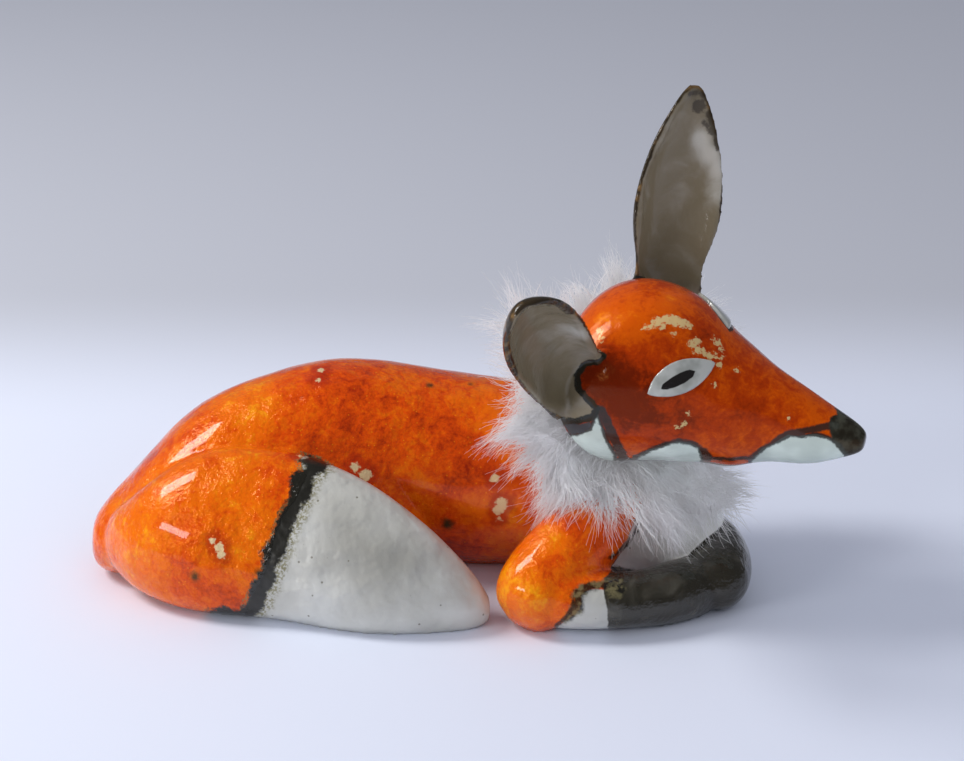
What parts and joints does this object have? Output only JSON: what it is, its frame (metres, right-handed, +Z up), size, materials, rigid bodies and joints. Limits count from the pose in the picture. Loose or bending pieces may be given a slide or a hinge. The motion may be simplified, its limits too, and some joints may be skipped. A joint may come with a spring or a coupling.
{
  "type": "fox figurine",
  "caption": "Reclining glazed ceramic fox ornament with a curled tail, cupped ears, a feather collar and a head that turns on a peg.",
  "frame": {"origin": "middle of the flat base under the torso, on the surface it stands on", "axes": "+X towards the fox's nose, +Y towards the fox's straight back, away from its curled tail, +Z up"},
  "size_m": [0.2483, 0.1302, 0.1609],
  "materials": {
    "glaze_orange": "glossy mottled orange glaze",
    "glaze_white": "satin white glaze, orange at the root",
    "glaze_dark": "glossy olive black glaze",
    "glaze_grey": "glossy grey beige glaze with a dark rim",
    "glaze_eye": "glossy pale glaze with a black pupil",
    "cork": "cut cork",
    "peg_wood": "plain beech",
    "cord_thread": "twisted cotton",
    "down": "white marabou down"
  },
  "bodies": {
    "body": {"torso": "glaze_orange", "haunch_right": "glaze_orange", "tail": "glaze_white", "foreleg_right": "glaze_orange", "foreleg_left": "glaze_dark", "neck_cork": "cork", "neck_peg": "peg_wood", "collar_cord": "cord_thread", "collar_feathers": "down"},
    "head": {"head_shell": "glaze_orange", "ear_left": "glaze_grey", "ear_right": "glaze_grey", "eye_left": "glaze_eye", "eye_right": "glaze_eye", "head_cork": "cork"}
  },
  "joints": [
    {"name": "head_turn", "type": "hinge", "parent": "body", "child": "head", "pos_m": [0.04194, -0.02232, 0.062], "axis": [0.671, -0.4607, 0.5809], "range_deg": [-30, 30]}
  ]
}
